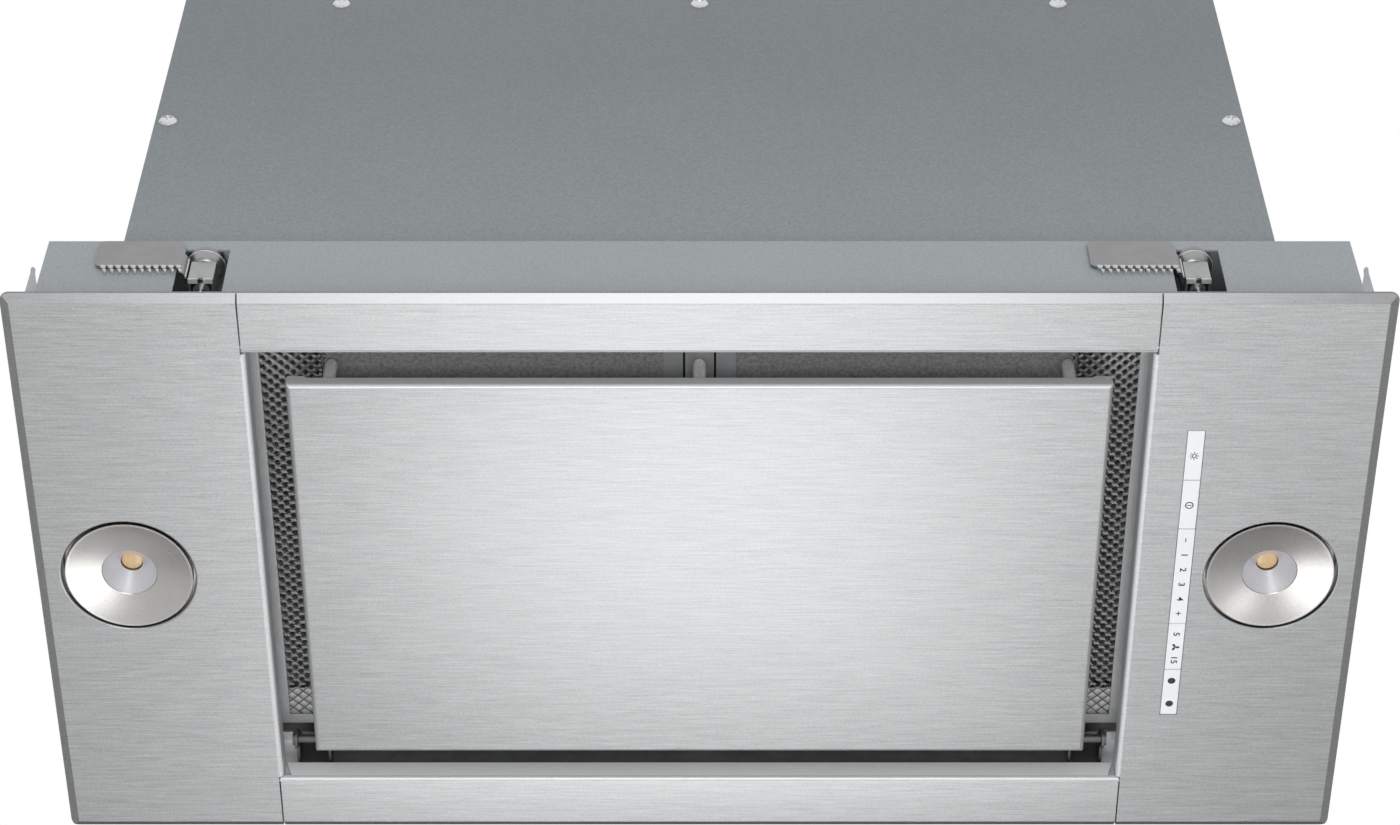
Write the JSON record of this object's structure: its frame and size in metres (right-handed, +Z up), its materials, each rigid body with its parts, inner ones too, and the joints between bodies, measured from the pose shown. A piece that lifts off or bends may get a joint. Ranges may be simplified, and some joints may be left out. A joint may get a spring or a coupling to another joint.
{
  "type": "built-in range hood",
  "caption": "Built-in range hood with a hinged edge-extraction panel, grease filters, lamps, a key strip, cabinet clamps, a fan and a round exhaust spigot.",
  "frame": {"origin": "middle of the cabinet cut-out, on the collar's flange where it meets the underside of the cabinet", "axes": "+Z up into the cabinet, -Y towards the cook, +X to the cook's right"},
  "size_m": [0.58, 0.293, 0.34],
  "materials": {
    "stainless": "brushed",
    "zinc_sheet": "matte",
    "grey_paint": "satin",
    "plated_steel": "satin",
    "filter_aluminium": "satin",
    "filter_mesh": "matte",
    "lamp_metal": "satin",
    "lamp_source": "gloss",
    "key_face": "gloss",
    "black_plastic": "matte",
    "board_green": "satin",
    "motor_paint": "satin"
  },
  "bodies": {
    "hood": {"fascia_left": "stainless", "fascia_right": "stainless", "front_strip": "stainless", "rear_strip": "stainless", "catch_clips": "zinc_sheet", "hinge_brackets": "zinc_sheet", "intake_tray": "zinc_sheet", "centre_bar": "zinc_sheet", "side_barbs": "zinc_sheet", "motor_bracket": "zinc_sheet", "collar": "grey_paint", "housing_body": "grey_paint", "housing_front": "grey_paint", "housing_top": "grey_paint", "hinge_pins": "plated_steel", "housing_screws": "plated_steel", "shelf_rivets": "plated_steel", "flap_pin": "plated_steel", "filter_frame_left": "filter_aluminium", "filter_mesh_left": "filter_mesh", "lamp_reflector_left": "lamp_metal", "lamp_heatsink_left": "lamp_metal", "lamp_led_left": "lamp_source", "filter_frame_right": "filter_aluminium", "filter_mesh_right": "filter_mesh", "lamp_reflector_right": "lamp_metal", "lamp_heatsink_right": "lamp_metal", "lamp_led_right": "lamp_source", "control_housing": "black_plastic", "fan_scroll": "black_plastic", "exhaust_spigot": "black_plastic", "electronics_box": "black_plastic", "cable_gland": "black_plastic", "control_board": "board_green", "fan_motor": "motor_paint"},
    "panel": {"deflector_panel": "stainless", "deflector_backing": "zinc_sheet", "catch_pegs": "plated_steel"},
    "latch_left": {"filter_latch_left": "black_plastic"},
    "latch_right": {"filter_latch_right": "black_plastic"},
    "light_key": {"key_light": "key_face"},
    "power_key": {"key_power": "key_face"},
    "level_key": {"key_level": "key_face"},
    "timer_key": {"key_timer": "key_face"},
    "filter_key": {"key_filter": "key_face"},
    "fan_wheel": {"impeller": "black_plastic"},
    "front_flap": {"flap_front": "black_plastic"},
    "rear_flap": {"flap_rear": "black_plastic"},
    "screw_1": {"clamp_screw_1": "plated_steel"},
    "nut_1": {"clamp_nut_1": "plated_steel"},
    "claw_1": {"clamp_claw_1": "plated_steel"},
    "screw_2": {"clamp_screw_2": "plated_steel"},
    "nut_2": {"clamp_nut_2": "plated_steel"},
    "claw_2": {"clamp_claw_2": "plated_steel"},
    "screw_3": {"clamp_screw_3": "plated_steel"},
    "nut_3": {"clamp_nut_3": "plated_steel"},
    "claw_3": {"clamp_claw_3": "plated_steel"},
    "screw_4": {"clamp_screw_4": "plated_steel"},
    "nut_4": {"clamp_nut_4": "plated_steel"},
    "claw_4": {"clamp_claw_4": "plated_steel"}
  },
  "joints": [
    {"name": "panel_hinge", "type": "hinge", "parent": "hood", "child": "panel", "pos_m": [0, 0.102, 0.008], "axis": [1, 0, 0], "range_deg": [0, 85]},
    {"name": "latch_left_slide", "type": "slide", "parent": "hood", "child": "latch_left", "axis": [0, -1, 0], "range_m": [0, 0.004], "stiffness_N_per_m": 250, "springref_m": -0.004},
    {"name": "latch_right_slide", "type": "slide", "parent": "hood", "child": "latch_right", "axis": [0, -1, 0], "range_m": [0, 0.004], "stiffness_N_per_m": 250, "springref_m": -0.004},
    {"name": "light_key_push", "type": "slide", "parent": "hood", "child": "light_key", "axis": [0, 0, 1], "range_m": [0, 0.0008], "stiffness_N_per_m": 600, "springref_m": -0.0015},
    {"name": "power_key_push", "type": "slide", "parent": "hood", "child": "power_key", "axis": [0, 0, 1], "range_m": [0, 0.0008], "stiffness_N_per_m": 600, "springref_m": -0.0015},
    {"name": "timer_key_push", "type": "slide", "parent": "hood", "child": "timer_key", "axis": [0, 0, 1], "range_m": [0, 0.0008], "stiffness_N_per_m": 600, "springref_m": -0.0015},
    {"name": "filter_key_push", "type": "slide", "parent": "hood", "child": "filter_key", "axis": [0, 0, 1], "range_m": [0, 0.0008], "stiffness_N_per_m": 600, "springref_m": -0.0015},
    {"name": "level_key_rock", "type": "hinge", "parent": "hood", "child": "level_key", "pos_m": [0.211, 0, 0], "axis": [1, 0, 0], "range_deg": [-1.5, 1.5], "stiffness_Nm_per_rad": 1.2},
    {"name": "clamp_1_screw", "type": "hinge", "parent": "hood", "child": "screw_1", "pos_m": [-0.211, -0.1285, 0], "axis": [0, 0, 1], "range_deg": [0, 6000]},
    {"name": "clamp_1_draw", "type": "slide", "parent": "hood", "child": "nut_1", "axis": [0, 0, -1], "range_m": [0, 0.025]},
    {"name": "clamp_1_swing", "type": "hinge", "parent": "nut_1", "child": "claw_1", "pos_m": [-0.211, -0.1285, 0.034], "axis": [0, 0, 1], "range_deg": [0, 90]},
    {"name": "clamp_2_screw", "type": "hinge", "parent": "hood", "child": "screw_2", "pos_m": [0.211, -0.1285, 0], "axis": [0, 0, 1], "range_deg": [0, 6000]},
    {"name": "clamp_2_draw", "type": "slide", "parent": "hood", "child": "nut_2", "axis": [0, 0, -1], "range_m": [0, 0.025]},
    {"name": "clamp_2_swing", "type": "hinge", "parent": "nut_2", "child": "claw_2", "pos_m": [0.211, -0.1285, 0.034], "axis": [0, 0, 1], "range_deg": [0, 90]},
    {"name": "clamp_3_screw", "type": "hinge", "parent": "hood", "child": "screw_3", "pos_m": [0.211, 0.1285, 0], "axis": [0, 0, 1], "range_deg": [0, 6000]},
    {"name": "clamp_3_draw", "type": "slide", "parent": "hood", "child": "nut_3", "axis": [0, 0, -1], "range_m": [0, 0.025]},
    {"name": "clamp_3_swing", "type": "hinge", "parent": "nut_3", "child": "claw_3", "pos_m": [0.211, 0.1285, 0.034], "axis": [0, 0, 1], "range_deg": [0, 90]},
    {"name": "clamp_4_screw", "type": "hinge", "parent": "hood", "child": "screw_4", "pos_m": [-0.211, 0.1285, 0], "axis": [0, 0, 1], "range_deg": [0, 6000]},
    {"name": "clamp_4_draw", "type": "slide", "parent": "hood", "child": "nut_4", "axis": [0, 0, -1], "range_m": [0, 0.025]},
    {"name": "clamp_4_swing", "type": "hinge", "parent": "nut_4", "child": "claw_4", "pos_m": [-0.211, 0.1285, 0.034], "axis": [0, 0, 1], "range_deg": [0, 90]},
    {"name": "fan_spin", "type": "hinge", "parent": "hood", "child": "fan_wheel", "pos_m": [0, -0.01, 0.166], "axis": [1, 0, 0], "continuous": true},
    {"name": "front_flap_lift", "type": "hinge", "parent": "hood", "child": "front_flap", "pos_m": [0, 0, 0.303], "axis": [-1, 0, 0], "range_deg": [0, 75]},
    {"name": "rear_flap_lift", "type": "hinge", "parent": "hood", "child": "rear_flap", "pos_m": [0, 0, 0.303], "axis": [1, 0, 0], "range_deg": [0, 75]}
  ],
  "couplings": [
    {"joint": "clamp_1_screw", "follows": "clamp_1_draw", "rad_per_m": 4188.8},
    {"joint": "clamp_2_screw", "follows": "clamp_2_draw", "rad_per_m": 4188.8},
    {"joint": "clamp_3_screw", "follows": "clamp_3_draw", "rad_per_m": 4188.8},
    {"joint": "clamp_4_screw", "follows": "clamp_4_draw", "rad_per_m": 4188.8}
  ]
}
